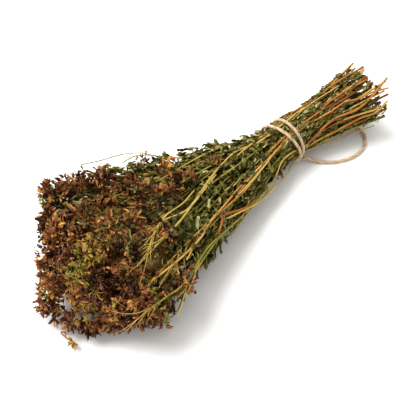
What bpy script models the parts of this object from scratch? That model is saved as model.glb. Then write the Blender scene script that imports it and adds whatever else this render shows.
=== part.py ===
"""A bunch of dried St John's wort, laid on its side and tied with jute twine.

The stems pass through one tie like straws through a ring. They fan out a little to their cut ends
at +X and a lot to the flower heads at -X. Metres, +Z up; the bunch rests on the plane z = 0.
"""

import math
import random

import bmesh
import bpy
from mathutils import Matrix, Vector
from mathutils.bvhtree import BVHTree

# Driving dimensions of the bunch
STEM_COUNT = 28
TIE_X = 0.0950  # the tie's place along X, which centres the bunch's box on the origin
TIE_Y = 0.0060  # the same across the bunch
WAIST = 0.0185  # radius of the ring of outer stem axes inside the tie
BLOOM_SLOPES = (0.385, 0.100)  # how fast the half width and height grow, from the tie to the flowers
BUTT_SLOPES = (0.270, 0.225)  # the same towards the cut ends
BUTT_LENGTH = (0.090, 0.112)  # from the tie to the cut ends, shortest and longest
BUTT_SWAY = (-0.17, 0.020)  # the cut ends lean to -Y, from that far behind the tie
HEAD_DISTANCE = 0.278  # from the tie to the middle of the furthest flower heads
HEAD_STAGGER = 0.120  # the depth of the zone that the outer heads fill
HEAD_DOME = 0.030  # how much sooner the outermost heads end
HEAD_SLANT = 0.020  # how much sooner still on the +Y side, and later on the -Y side
HEAD_STEPS = 23  # places tried for a head along that zone
TWIST = 0.35  # share of a straight straw's turn about the bunch's axis
HEART_STEMS = 10  # the inner stems, bedded in the packed leaves of the bunch's heart
HEADLESS_STEMS = (0, 2, 3, 5, 7, 17, 24)  # mostly inner ones: they are broken off short
BROKEN_DISTANCE = (0.13, 0.19)

# Heights of the lowest stem axes above the surface
LIFT_AT_TIE = 0.0056
LIFT_AT_BUTTS = 0.0080
LIFT_AT_HEADS = 0.0150

# Stems
STEM_RADIUS = 0.0016
STEM_TIP_SHARE = 0.62  # radius at the head over radius at the cut end
STEM_STATIONS = 9
STEM_WANDER = 0.0012  # how far a stem strays from a straight straw
STEM_WAVE = 38  # radians of that wander for each metre

# The heart: packed leaves round the inner stems
HEART_RING = 0.60
HEART_END_RING = 0.40
HEART_SPAN = (-0.080, 0.165)
HEART_SIDES = 12
HEART_STATIONS = 12
HEART_ROUGHNESS = 0.16
HEART_STEP_BACK = 0.94  # what is left of the ring each time a crowded point is drawn in
HEART_LEAVES = 105
LEAF_SINK = (0.0006, 0.0010)

# Leaves
LEAF_LENGTH = (0.018, 0.027)
LEAF_WIDTH = (0.0078, 0.0112)
LEAF_KEEL = 0.0009
LEAF_WAVE = 0.0003
LEAF_BASE = 0.45  # width at the stalk end over the widest
LEAF_ROOT = 0.45  # share of the stem's radius at which a leaf starts
LEAF_CURL = (-0.22, 0.12)  # rise of the tip over the length
LEAF_TWIST = 0.3
LEAF_LEAN = (30, 58)  # degrees away from what it grows on
LEAF_SIDES = math.radians(125)  # how far round a stem from its outer side
LEAVES_A_STEM = 10
LEAF_TRIES = 14
BARE_BUTT = 0.022
BARE_TIP = 0.012

# Flower heads
HEAD_STALK = 0.0140
CORE_RADII = (0.0095, 0.0078, 0.0062, 0.0048, 0.0036)  # the first that fits is used
FLORETS = 15
FLORET_ZONE = 1.72  # how far down the head they stand: 0 is its tip, 1 its widest and 2 its stalk
FLORET_LENGTH = (0.0120, 0.0190)
FLORET_RADIUS = (0.0044, 0.0064)
FLORET_SIZES = (1.0, 0.8, 0.62)  # tried in turn where there is little room
FLORET_ROOT = 0.55  # share of the core's radius
FLORET_NOD = 0.25  # how much a floret turns towards the head's tip
BUD_SHARE = 0.4
BUD_BULGE = 0.35
FLOWER_HOLLOW = 0.3

# Twine
TWINE_RADIUS = 0.0017
WRAP_ROOM = 0.0009  # between the outermost stems and the twine
WRAP_RADIUS = WAIST + STEM_RADIUS + TWINE_RADIUS + WRAP_ROOM
WRAP_PITCH = 0.0028  # between the two wraps where they lie side by side
WRAP_SLIPS = (0.0015, 0.0130)  # how far each wrap slips on the side away from the hitch
HITCH_YARN = 0.9  # the hitch is pulled thinner than the wraps
WRAP_POINTS = 20
HITCH_ANGLE = math.radians(222)  # where the two wraps meet, low on the -Y side
HITCH_RING = 0.0030
HITCH_RISE = (0.0008, 0.00135)  # its middle above the wraps, and its half height
HITCH_POINTS = 10

GAP = 0.0004  # kept between neighbouring pieces
GOLDEN_ANGLE = math.pi * (3 - math.sqrt(5))
SEED = 7
LEAF_SEED = 1


def clear_scene():
    for old in list(bpy.data.objects):
        bpy.data.objects.remove(old, do_unlink=True)


def new_collection(name):
    found = bpy.data.collections.new(name)
    bpy.context.scene.collection.children.link(found)
    return found


def new_material(name, colour, roughness):
    material = bpy.data.materials.new(name)
    material.use_nodes = True
    shader = material.node_tree.nodes["Principled BSDF"]
    shader.inputs["Base Color"].default_value = (*colour, 1.0)
    shader.inputs["Roughness"].default_value = roughness
    shader.inputs["Metallic"].default_value = 0.0
    return material


# The form of the bunch: where a stem runs


def half_width(distance):
    slope = BLOOM_SLOPES[0] if distance > 0 else BUTT_SLOPES[0]
    return math.hypot(WAIST, slope * distance)


def half_height(distance):
    slope = BLOOM_SLOPES[1] if distance > 0 else BUTT_SLOPES[1]
    return math.hypot(WAIST, slope * distance)


def lift(distance):
    """Height of the lowest stem axis, a signed distance from the tie: positive towards the flowers."""
    if distance > 0:
        share = distance / HEAD_DISTANCE
        return LIFT_AT_TIE + (LIFT_AT_HEADS - LIFT_AT_TIE) * share**1.5
    share = -distance / BUTT_LENGTH[1]
    return LIFT_AT_TIE + (LIFT_AT_BUTTS - LIFT_AT_TIE) * share


def sway(distance):
    """How far the middle of the bunch is off to +Y of the tie."""
    slope, start = BUTT_SWAY
    return slope * (math.hypot(distance, start) - start) if distance < 0 else 0.0


def bundle_point(ring, angle, distance):
    """A point of the bunch: ring 0 is its axis and 1 its outer stems, angle is taken at the tie."""
    turned = angle + TWIST * math.atan2(BUTT_SLOPES[0] * distance, WAIST)
    height = half_height(distance)
    return Vector(
        (
            TIE_X - distance,
            TIE_Y + sway(distance) + half_width(distance) * ring * math.cos(turned),
            lift(distance) + height + height * ring * math.sin(turned),
        )
    )


class Stem:
    """One stem: its place in the tie, its two ends, and its axis."""

    def __init__(self, index):
        rng = random.Random(SEED * 1000 + index)
        self.index = index
        self.ring = math.sqrt((index + 0.5) / STEM_COUNT)
        self.angle = index * GOLDEN_ANGLE
        self.broken = index in HEADLESS_STEMS
        self.butt = -rng.uniform(*BUTT_LENGTH)
        self.end = rng.uniform(*BROKEN_DISTANCE)
        self.head = None
        self.phase = rng.uniform(0, 2 * math.pi)

    def point(self, distance):
        place = bundle_point(self.ring, self.angle, distance)
        fade = min(1.0, abs(distance) / 0.05)
        swing = self.phase + STEM_WAVE * distance
        place.y += STEM_WANDER * fade * math.sin(swing)
        place.z += STEM_WANDER * fade * math.cos(1.3 * swing)
        return place

    def direction(self, distance):
        step = 0.002
        return (self.point(distance + step) - self.point(distance - step)).normalized()

    def radius(self, distance):
        share = (distance - self.butt) / (HEAD_DISTANCE - self.butt)
        return STEM_RADIUS * (1 - (1 - STEM_TIP_SHARE) * share)

    def outward(self, distance):
        """Away from the bunch's axis, in the plane across it."""
        axis = bundle_point(0, 0, distance)
        away = self.point(distance) - axis
        away.x = 0
        return away.normalized() if away.length > 1e-4 else Vector((0, 0, 1))


def spread_heads(stems):
    """Gives each stem its length, outer ones first, so that the heads lie as far apart as they can."""
    steps = [HEAD_DISTANCE - HEAD_STAGGER * step / (HEAD_STEPS - 1) for step in range(HEAD_STEPS)]
    placed = []
    for stem in sorted(stems, key=lambda stem: -stem.ring):
        if stem.broken:
            continue
        side = (stem.point(HEAD_DISTANCE).y - TIE_Y) / half_width(HEAD_DISTANCE)
        nearest = HEAD_DISTANCE - HEAD_STAGGER * stem.ring
        furthest = HEAD_DISTANCE - HEAD_DOME * stem.ring**2 - HEAD_SLANT * side
        open_steps = [step for step in steps if nearest <= step <= furthest]
        rooms = [min([(stem.point(d) - other).length for other in placed] or [1]) for d in open_steps]
        stem.head = open_steps[rooms.index(max(rooms))]
        stem.end = stem.head - HEAD_STALK
        placed.append(stem.point(stem.head))


# Making and joining meshes


def mesh_object(name, mesh, collection):
    made = bpy.data.objects.new(name, mesh)
    collection.objects.link(made)
    return made


def tube(name, points, radius, collection, shares=None, resolution=1, cyclic=False):
    """A rod along points. Its ends are closed, or it is a ring if cyclic."""
    curve = bpy.data.curves.new(name, "CURVE")
    curve.dimensions = "3D"
    curve.bevel_depth = radius
    curve.bevel_resolution = resolution
    curve.use_fill_caps = not cyclic
    spline = curve.splines.new("POLY")
    spline.points.add(len(points) - 1)
    spline.use_cyclic_u = cyclic
    for index, place in enumerate(points):
        spline.points[index].co = (*place, 1.0)
        spline.points[index].radius = shares[index] if shares else 1.0
    guide = bpy.data.objects.new(name + "_curve", curve)
    collection.objects.link(guide)
    bpy.context.view_layer.update()
    graph = bpy.context.evaluated_depsgraph_get()
    mesh = bpy.data.meshes.new_from_object(guide.evaluated_get(graph))
    bpy.data.objects.remove(guide, do_unlink=True)
    shape = bmesh.new()
    shape.from_mesh(mesh)
    bmesh.ops.remove_doubles(shape, verts=shape.verts, dist=1e-6)
    bmesh.ops.recalc_face_normals(shape, faces=shape.faces)
    shape.to_mesh(mesh)
    shape.free()
    return mesh_object(name, mesh, collection)


def keep_largest_body(shape):
    """Drops the loose scraps that a cut or a join leaves."""
    unseen = set(shape.faces)
    bodies = []
    while unseen:
        body = [unseen.pop()]
        for face in body:
            for edge in face.edges:
                if len(edge.link_faces) != 2:
                    continue
                for other in edge.link_faces:
                    if other in unseen:
                        unseen.remove(other)
                        body.append(other)
        bodies.append(body)
    bodies.sort(key=lambda body: sum(face.calc_area() for face in body))
    for body in bodies[:-1]:
        bmesh.ops.delete(shape, geom=body, context="FACES")


def joined(target, operation, solver="MANIFOLD", others=None, other=None):
    """Applies one Boolean to target, with a collection or an object, and cleans its mesh."""
    modifier = target.modifiers.new(operation.lower(), "BOOLEAN")
    modifier.operation = operation
    modifier.solver = solver
    if others:
        modifier.operand_type = "COLLECTION"
        modifier.collection = others
    else:
        modifier.object = other
    bpy.context.view_layer.update()
    graph = bpy.context.evaluated_depsgraph_get()
    mesh = bpy.data.meshes.new_from_object(target.evaluated_get(graph))
    target.modifiers.clear()
    shape = bmesh.new()
    shape.from_mesh(mesh)
    keep_largest_body(shape)
    shape.to_mesh(mesh)
    shape.free()
    mesh.materials.clear()
    target.data = mesh


def fuse(target, repeats):
    """Joins the repeats to what they grow from, in one union, and removes them."""
    if not repeats:
        return
    group = new_collection(target.name + "_repeats")
    for repeat in repeats:
        for home in repeat.users_collection:
            home.objects.unlink(repeat)
        group.objects.link(repeat)
    joined(target, "UNION", others=group)
    for repeat in repeats:
        bpy.data.objects.remove(repeat, do_unlink=True)
    bpy.data.collections.remove(group)


def press_flat(target, collection):
    """Cuts off what would reach below the surface that the bunch lies on, which leaves small flats."""
    if min(vertex.co.z for vertex in target.data.vertices) >= 0:
        return
    slab = bmesh.new()
    bmesh.ops.create_cube(slab, size=1.0, matrix=Matrix.Translation((0, 0, -0.5)))
    mesh = bpy.data.meshes.new("below_surface")
    slab.to_mesh(mesh)
    slab.free()
    cutter = mesh_object("below_surface", mesh, collection)
    cutter.hide_render = True
    cutter.display_type = "WIRE"
    joined(target, "DIFFERENCE", other=cutter)
    bpy.data.objects.remove(cutter, do_unlink=True)


class Neighbours:
    """The surfaces placed so far, node by node, so that a new leaf or floret can stay clear of them."""

    def __init__(self):
        self.shapes = {}
        self.trees = {}
        self.boxes = {}

    def add(self, node, mesh):
        points, faces = self.shapes.setdefault(node, ([], []))
        start = len(points)
        points.extend(vertex.co.copy() for vertex in mesh.vertices)
        faces.extend(tuple(start + corner for corner in face.vertices) for face in mesh.polygons)
        self.trees[node] = BVHTree.FromPolygons(points, faces)
        self.boxes[node] = box_of(points)

    def is_clear(self, node, mesh, gap=GAP):
        points = [vertex.co for vertex in mesh.vertices]
        tree = BVHTree.FromPolygons(points, [tuple(face.vertices) for face in mesh.polygons])
        low, high = box_of(points)
        for other, their_tree in self.trees.items():
            if other == node:
                continue
            their_low, their_high = self.boxes[other]
            if any(low[k] > their_high[k] + gap or high[k] < their_low[k] - gap for k in range(3)):
                continue
            if tree.overlap(their_tree) or is_inside(their_tree, points[-1]):
                return False
            if any(their_tree.find_nearest(place, gap)[0] is not None for place in points):
                return False
        return True

    def crowded_points(self, mesh, gap):
        """The mesh's points that lie too near, or on a face that meets, anything placed so far."""
        points = [vertex.co for vertex in mesh.vertices]
        faces = [tuple(face.vertices) for face in mesh.polygons]
        tree = BVHTree.FromPolygons(points, faces)
        crowded = set()
        for their_tree in self.trees.values():
            for face, _ in tree.overlap(their_tree):
                crowded.update(faces[face])
            for index, place in enumerate(points):
                if their_tree.find_nearest(place, gap)[0] is not None:
                    crowded.add(index)
        return crowded


def is_inside(tree, place):
    """Whether closed surfaces hold place: a line upwards from there leaves them more often than it enters."""
    up = Vector((0, 0, 1))
    depth = 0
    start = place
    while True:
        spot, normal, _, _ = tree.ray_cast(start, up)
        if spot is None:
            return depth > 0
        depth += 1 if normal.z > 0 else -1
        start = spot + up * 1e-6


def box_of(points):
    low = [min(place[k] for place in points) for k in range(3)]
    high = [max(place[k] for place in points) for k in range(3)]
    return low, high


# The single shapes that are repeated


def frame_matrix(root, forward, normal):
    """Puts a shape's +X along forward and its +Z near normal, at root."""
    x_axis = forward.normalized()
    y_axis = normal.cross(x_axis)
    if y_axis.length < 1e-4:
        y_axis = Vector((0, 1, 0)).cross(x_axis)
    y_axis.normalize()
    z_axis = x_axis.cross(y_axis)
    turned = Matrix((x_axis, y_axis, z_axis)).transposed().to_4x4()
    return Matrix.Translation(root) @ turned


def leaf_mesh(length, width, curl, twist, rng):
    """A dry leaf: a keeled blade with waved edges, its stalk end at the origin and its tip along +X."""
    shape = bmesh.new()
    bmesh.ops.create_uvsphere(shape, u_segments=3, v_segments=4, radius=1.0)
    waves = [rng.uniform(-LEAF_WAVE, LEAF_WAVE) for _ in range(5)]
    for vertex in shape.verts:
        along = (vertex.co.z + 1) / 2
        side = vertex.co.y / math.sin(math.radians(120))
        across = side * width / 2 * min(1.0, LEAF_BASE + along)
        deep = -vertex.co.x * LEAF_KEEL + side * waves[round(along * 4)]
        turn = twist * along
        vertex.co = Vector(
            (
                along * length,
                across * math.cos(turn) - deep * math.sin(turn),
                across * math.sin(turn) + deep * math.cos(turn) + curl * length * along**2,
            )
        )
    mesh = bpy.data.meshes.new("leaf")
    shape.to_mesh(mesh)
    shape.free()
    return mesh


def floret_mesh(length, radius, sides, centre, rng):
    """A dry flower or bud: a cup on a point at the origin, its ragged petal tips round +X.

    Its middle stands centre above the petal tips: a bud bulges and an open flower is hollow.
    """
    shape = bmesh.new()
    bmesh.ops.create_cone(
        shape, cap_ends=True, cap_tris=True, segments=sides, radius1=1.0, radius2=0.0, depth=1.0
    )
    bmesh.ops.remove_doubles(shape, verts=shape.verts, dist=1e-4)
    for vertex in shape.verts:
        reach = math.hypot(vertex.co.x, vertex.co.y)
        if vertex.co.z > 0:
            vertex.co = Vector((0, 0, 0))
        elif reach < 0.5:
            vertex.co = Vector((length + centre, 0, 0))
        else:
            spread = radius * rng.uniform(0.75, 1.25)
            forward = length * rng.uniform(0.86, 1.14)
            vertex.co = Vector((forward, spread * vertex.co.y, spread * vertex.co.x))
    mesh = bpy.data.meshes.new("floret")
    shape.to_mesh(mesh)
    shape.free()
    return mesh


def core_mesh(centre, radius):
    shape = bmesh.new()
    bmesh.ops.create_icosphere(shape, subdivisions=1, radius=radius)
    bmesh.ops.translate(shape, verts=shape.verts, vec=centre)
    mesh = bpy.data.meshes.new("core")
    shape.to_mesh(mesh)
    shape.free()
    return mesh


# The twine: a loop hitched twice round the stems, with its slack lying free


def wrap_points(offset, spread):
    """A ring round the stems at the tie, which slips towards the flowers on the side away from the hitch."""
    middle = lift(0) + half_height(0)
    points = []
    for index in range(WRAP_POINTS):
        angle = 2 * math.pi * index / WRAP_POINTS
        slip = spread * (1 - math.cos(angle - HITCH_ANGLE)) / 2
        reach = WRAP_RADIUS * half_width(slip) / WAIST
        points.append(
            Vector(
                (
                    TIE_X + offset - slip,
                    TIE_Y + reach * math.cos(angle),
                    middle + reach * math.sin(angle),
                )
            )
        )
    return points


def hitch_points():
    """A small ring that binds the two wraps together where they meet."""
    middle = Vector((TIE_X, TIE_Y, lift(0) + half_height(0)))
    outward = Vector((0, math.cos(HITCH_ANGLE), math.sin(HITCH_ANGLE)))
    points = []
    for index in range(HITCH_POINTS):
        turn = 2 * math.pi * index / HITCH_POINTS
        reach = WRAP_RADIUS + HITCH_RISE[0] + HITCH_RISE[1] * math.cos(turn)
        points.append(middle + outward * reach + Vector((HITCH_RING * math.sin(turn), 0, 0)))
    return points


def make_tie(collection):
    first, second = (
        tube(name, wrap_points(offset, spread), TWINE_RADIUS, collection, cyclic=True)
        for name, offset, spread in zip(
            ("twine_tie", "second_wrap"), (WRAP_PITCH / 2, -WRAP_PITCH / 2), WRAP_SLIPS
        )
    )
    hitch = tube("hitch", hitch_points(), TWINE_RADIUS * HITCH_YARN, collection, cyclic=True)
    fuse(first, [second, hitch])
    press_flat(first, collection)
    return first


# Route of the free twine from the tie's place: out of the hitch, along the surface beside the
# cut ends, under them, and back beneath the bunch into the tie
LOOP_ROUTE = (
    (0.0055, -0.0196, 0.0075),
    (0.0110, -0.0240, 0.0050),
    (0.0180, -0.0322, 0.0024),
    (0.0300, -0.0422, TWINE_RADIUS),
    (0.0460, -0.0486, TWINE_RADIUS),
    (0.0620, -0.0482, TWINE_RADIUS),
    (0.0740, -0.0406, TWINE_RADIUS),
    (0.0790, -0.0285, TWINE_RADIUS),
    (0.0740, -0.0156, TWINE_RADIUS),
    (0.0600, -0.0063, TWINE_RADIUS),
    (0.0430, -0.0022, TWINE_RADIUS),
    (0.0250, -0.0015, TWINE_RADIUS),
    (0.0130, -0.0037, TWINE_RADIUS),
    (0.0060, -0.0056, TWINE_RADIUS),
)
LOOP_STEPS = 2  # points read from the curve for each stretch of the route


def smooth_route(route, steps):
    """Points along a Catmull-Rom curve through the route."""
    places = [Vector(place) for place in route]
    padded = [2 * places[0] - places[1], *places, 2 * places[-1] - places[-2]]
    found = []
    for before, start, end, after in zip(padded, padded[1:], padded[2:], padded[3:]):
        for step in range(steps):
            t = step / steps
            found.append(
                0.5
                * (
                    2 * start
                    + (end - before) * t
                    + (2 * before - 5 * start + 4 * end - after) * t**2
                    + (3 * start - before - 3 * end + after) * t**3
                )
            )
    found.append(places[-1])
    return found


def make_loop(collection):
    origin = Vector((TIE_X, TIE_Y, 0))
    points = [origin + place for place in smooth_route(LOOP_ROUTE, LOOP_STEPS)]
    for place in points:
        place.z = max(place.z, TWINE_RADIUS)
    return tube("twine_loop", points, TWINE_RADIUS, collection, resolution=2)


# Flower heads


def make_head(stem, neighbours, collection):
    """A dense dry head: a short stalk end and a small core, with flowers and buds standing out of it."""
    name = f"flower_head_{stem.index + 1:02d}"
    rng = random.Random(SEED * 2000 + stem.index)
    centre = stem.point(stem.head)
    stations = [stem.end + GAP, stem.head]
    points = [stem.point(distance) for distance in stations]
    shares = [stem.radius(distance) / STEM_RADIUS for distance in stations]
    head = tube(name, points, STEM_RADIUS, collection, shares=shares, resolution=0)
    neighbours.add(name, head.data)
    for radius in CORE_RADII:
        core = core_mesh(centre, radius)
        if neighbours.is_clear(name, core):
            neighbours.add(name, core)
            return head, [mesh_object("core", core, collection)], centre, radius, rng
    return head, [], centre, 0, rng


def head_directions(axis, rng):
    """Even directions all round a head, except back along its stalk."""
    turn = rng.uniform(0, 2 * math.pi)
    tilt = axis.to_track_quat("Z", "Y")
    for index in range(FLORETS):
        height = 1 - FLORET_ZONE * (index + 0.5) / FLORETS
        reach = math.sqrt(1 - height * height)
        angle = turn + index * GOLDEN_ANGLE
        yield tilt @ Vector((reach * math.cos(angle), reach * math.sin(angle), height))


def add_florets(stem, parts, neighbours, collection):
    head, repeats, centre, core_radius, rng = parts
    axis = stem.direction(stem.head)
    for outward in head_directions(axis, rng):
        forward = (outward + FLORET_NOD * axis).normalized()
        length = rng.uniform(*FLORET_LENGTH)
        radius = rng.uniform(*FLORET_RADIUS)
        is_bud = rng.random() < BUD_SHARE
        middle = BUD_BULGE * length if is_bud else -FLOWER_HOLLOW * length
        sides = 4 if is_bud else 5
        root = centre + outward * core_radius * FLORET_ROOT
        for shrink in FLORET_SIZES:
            mesh = floret_mesh(length * shrink, radius * shrink, sides, middle * shrink, rng)
            mesh.transform(frame_matrix(root, forward, axis))
            if neighbours.is_clear(head.name, mesh):
                neighbours.add(head.name, mesh)
                repeats.append(mesh_object("floret", mesh, collection))
                break
    fuse(head, repeats)
    press_flat(head, collection)


# Leaves


def placed_leaf(name, root, heading, face, rng, neighbours):
    """One dry leaf from root along heading, its face turned to face, or None where there is no room."""
    length = rng.uniform(*LEAF_LENGTH)
    width = rng.uniform(*LEAF_WIDTH)
    curl = rng.uniform(*LEAF_CURL)
    mesh = leaf_mesh(length, width, curl, rng.uniform(-LEAF_TWIST, LEAF_TWIST), rng)
    mesh.transform(frame_matrix(root, heading, face))
    if min(vertex.co.z for vertex in mesh.vertices) < GAP or not neighbours.is_clear(name, mesh):
        return None
    neighbours.add(name + "_leaves", mesh)
    return mesh


def add_leaves(stem, rod, neighbours, collection):
    """Leaves along an outer stem, most of them on its outer side."""
    rng = random.Random(LEAF_SEED * 3000 + stem.index)
    first = stem.butt + BARE_BUTT
    last = stem.end - BARE_TIP
    leaves = []
    for index in range(LEAVES_A_STEM):
        for _ in range(LEAF_TRIES):
            distance = first + (last - first) * (index + rng.uniform(0.1, 0.9)) / LEAVES_A_STEM
            forward = stem.direction(distance)
            outward = stem.outward(distance)
            turned = Matrix.Rotation(rng.uniform(-LEAF_SIDES, LEAF_SIDES), 3, forward) @ outward
            lean = math.radians(rng.uniform(*LEAF_LEAN))
            heading = forward * math.cos(lean) + turned * math.sin(lean)
            root = stem.point(distance) + turned * stem.radius(distance) * LEAF_ROOT
            leaf = placed_leaf(rod.name, root, heading, turned, rng, neighbours)
            if leaf:
                leaves.append(mesh_object("leaf", leaf, collection))
                break
    fuse(rod, leaves)


# The heart of the bunch


def heart_mesh(neighbours):
    """Packed leaves as one rough body, drawn in wherever an outer stem runs past."""
    rng = random.Random(SEED * 4000)
    shape = bmesh.new()
    bmesh.ops.create_cone(
        shape, cap_ends=True, segments=HEART_SIDES, radius1=1.0, radius2=1.0, depth=1.0
    )
    sides = [edge for edge in shape.edges if abs(edge.verts[0].co.z - edge.verts[1].co.z) > 0.5]
    bmesh.ops.subdivide_edges(shape, edges=sides, cuts=HEART_STATIONS - 2, use_grid_fill=True)
    first, last = HEART_SPAN
    places = []
    for vertex in shape.verts:
        share = vertex.co.z + 0.5
        at_end = share < 0.01 or share > 0.99
        ring = HEART_END_RING if at_end else HEART_RING
        ring *= rng.uniform(1 - HEART_ROUGHNESS, 1 + HEART_ROUGHNESS)
        distance = first + (last - first) * share
        places.append([ring, math.atan2(vertex.co.y, vertex.co.x), distance])
        vertex.co = bundle_point(*places[-1])
    bmesh.ops.recalc_face_normals(shape, faces=shape.faces)
    bmesh.ops.triangulate(shape, faces=shape.faces)
    mesh = bpy.data.meshes.new("heart")
    shape.to_mesh(mesh)
    shape.free()
    while crowded := neighbours.crowded_points(mesh, 2 * GAP):
        for index in crowded:
            places[index][0] *= HEART_STEP_BACK
            mesh.vertices[index].co = bundle_point(*places[index])
    return mesh


def make_heart(stems, neighbours, collection):
    name = "inner_stems_and_leaves"
    heart = mesh_object(name, heart_mesh(neighbours), collection)
    neighbours.add(name, heart.data)
    rods = [make_rod(stem, collection) for stem in stems]
    for rod in rods:
        neighbours.add(name, rod.data)
    return heart, rods


def add_heart_leaves(heart, rods, neighbours, collection):
    """Leaves that stand out of the heart, between the outer stems."""
    rng = random.Random(LEAF_SEED * 5000)
    faces = [(face.center.copy(), face.normal.copy()) for face in heart.data.polygons]
    leaves = []
    for index in range(HEART_LEAVES):
        for _ in range(LEAF_TRIES):
            middle, outward = rng.choice(faces)
            lean = math.radians(rng.uniform(*LEAF_LEAN))
            across = Vector((-1, rng.uniform(-0.5, 0.5), rng.uniform(-0.3, 0.3))).normalized()
            heading = across * math.cos(lean) + outward * math.sin(lean)
            root = middle - outward * rng.uniform(*LEAF_SINK)
            leaf = placed_leaf(heart.name, root, heading, outward, rng, neighbours)
            if leaf:
                leaves.append(mesh_object("leaf", leaf, collection))
                break
    fuse(heart, rods + leaves)


def make_rod(stem, collection):
    count = STEM_STATIONS
    span = stem.end - stem.butt
    stations = [stem.butt + span * index / (count - 1) for index in range(count)]
    points = [stem.point(distance) for distance in stations]
    shares = [stem.radius(distance) / STEM_RADIUS for distance in stations]
    name = f"stem_{stem.index + 1:02d}"
    return tube(name, points, STEM_RADIUS, collection, shares=shares, resolution=0)


def finish(made, material):
    made.data.materials.clear()
    made.data.materials.append(material)
    made.data.shade_smooth()
    made.data.set_sharp_from_angle(angle=math.radians(40))


def main():
    clear_scene()
    bundle = new_collection("st_johns_wort_bundle")
    stem_finish = new_material("dry_stem_and_leaf", (0.20, 0.19, 0.07), 0.8)
    head_finish = new_material("dry_flowers", (0.26, 0.13, 0.05), 0.85)
    twine_finish = new_material("jute", (0.52, 0.36, 0.22), 0.9)
    neighbours = Neighbours()

    tie = make_tie(bundle)
    neighbours.add(tie.name, tie.data)
    loop = make_loop(bundle)
    neighbours.add(loop.name, loop.data)

    stems = [Stem(index) for index in range(STEM_COUNT)]
    spread_heads(stems)
    outer = stems[HEART_STEMS:]
    rods = [make_rod(stem, bundle) for stem in outer]
    for rod in rods:
        neighbours.add(rod.name, rod.data)
    heart, inner_rods = make_heart(stems[:HEART_STEMS], neighbours, bundle)

    outer_first = sorted((stem for stem in stems if not stem.broken), key=lambda stem: -stem.ring)
    heads = [(stem, make_head(stem, neighbours, bundle)) for stem in outer_first]
    for stem, parts in heads:
        add_florets(stem, parts, neighbours, bundle)
        finish(parts[0], head_finish)
    for stem, rod in zip(outer, rods):
        add_leaves(stem, rod, neighbours, bundle)
        finish(rod, stem_finish)
    add_heart_leaves(heart, inner_rods, neighbours, bundle)
    finish(heart, stem_finish)
    finish(tie, twine_finish)
    finish(loop, twine_finish)


main()
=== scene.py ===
"""Dried bunch of flowering St John's wort, lying on a white table."""

import math
import random

import bmesh
import bpy
import numpy as np
from mathutils import Matrix, Vector, noise


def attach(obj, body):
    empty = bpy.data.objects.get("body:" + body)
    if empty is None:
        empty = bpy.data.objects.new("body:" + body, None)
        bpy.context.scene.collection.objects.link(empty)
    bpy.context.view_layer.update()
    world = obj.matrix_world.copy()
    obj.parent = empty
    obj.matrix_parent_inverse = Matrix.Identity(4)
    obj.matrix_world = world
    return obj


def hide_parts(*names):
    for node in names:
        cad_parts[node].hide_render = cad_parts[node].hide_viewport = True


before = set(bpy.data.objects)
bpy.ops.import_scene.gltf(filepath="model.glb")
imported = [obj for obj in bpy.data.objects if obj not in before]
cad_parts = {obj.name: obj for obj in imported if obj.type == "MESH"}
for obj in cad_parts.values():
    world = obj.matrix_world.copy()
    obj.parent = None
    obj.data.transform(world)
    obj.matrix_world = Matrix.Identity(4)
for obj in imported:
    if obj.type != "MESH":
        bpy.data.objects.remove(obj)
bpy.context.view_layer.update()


# The camera looks down on the flower end from the near left, with a short telephoto lens. The
# bunch lies on a plain white table under one broad light, high behind it, and a pale room.

VIEW_AZIMUTH = math.radians(-41.2)
VIEW_ELEVATION = math.radians(52.0)
VIEW_DISTANCE = 1.20
VIEW_TARGET = Vector((-0.0285, -0.0135, 0.0330))
LENS = 108.5
TABLE_SIDE = 6.0
TABLE_WHITE = (0.90, 0.90, 0.89)
SUN_STRENGTH = 3.1
SUN_SOFTNESS = math.radians(42)
SUN_FROM = Vector((-0.48, 0.86, 1.45))
ROOM_WHITE = (1.0, 0.99, 0.98)
ROOM_STRENGTH = 0.78


def put(tree, kind, inputs=None, **settings):
    """Adds a node to a material. Each named input takes a value or another node's output."""
    node = tree.nodes.new(kind)
    for key, value in settings.items():
        setattr(node, key, value)
    for key, value in (inputs or {}).items():
        if isinstance(value, bpy.types.NodeSocket):
            tree.links.new(value, node.inputs[key])
        else:
            node.inputs[key].default_value = value
    return node


def colour_ramp(tree, factor, stops):
    """Blends the stops' colours by the factor, each stop a place from 0 to 1 and a colour."""
    node = put(tree, "ShaderNodeValToRGB", {"Fac": factor})
    colours = node.color_ramp.elements
    colours[0].position = stops[0][0]
    colours[1].position = stops[-1][0]
    for place, _ in stops[1:-1]:
        colours.new(place)
    for element, (_, colour) in zip(colours, stops):
        element.color = (*colour, 1.0)
    return node.outputs["Color"]


def new_material(name, roughness):
    """A material with its shader's roughness set, as its node tree and that shader."""
    material = bpy.data.materials.new(name)
    material.use_nodes = True
    shader = material.node_tree.nodes["Principled BSDF"]
    shader.inputs["Roughness"].default_value = roughness
    shader.inputs["Specular IOR Level"].default_value = 0.25
    return material, material.node_tree, shader


camera = bpy.data.objects.new("photo_camera", bpy.data.cameras.new("photo_camera"))
bpy.context.scene.collection.objects.link(camera)
bpy.context.scene.camera = camera
back = Vector(
    (
        math.sin(VIEW_AZIMUTH) * math.cos(VIEW_ELEVATION),
        -math.cos(VIEW_AZIMUTH) * math.cos(VIEW_ELEVATION),
        math.sin(VIEW_ELEVATION),
    )
)
camera.location = VIEW_TARGET + back * VIEW_DISTANCE
camera.rotation_mode = "QUATERNION"
camera.rotation_quaternion = (-back).to_track_quat("-Z", "Y")
camera.data.lens = LENS
camera.data.clip_start = 0.05

sun = bpy.data.objects.new("window_light", bpy.data.lights.new("window_light", "SUN"))
bpy.context.scene.collection.objects.link(sun)
sun.data.energy = SUN_STRENGTH
sun.data.angle = SUN_SOFTNESS
sun.rotation_mode = "QUATERNION"
sun.rotation_quaternion = SUN_FROM.to_track_quat("Z", "Y")

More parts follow.
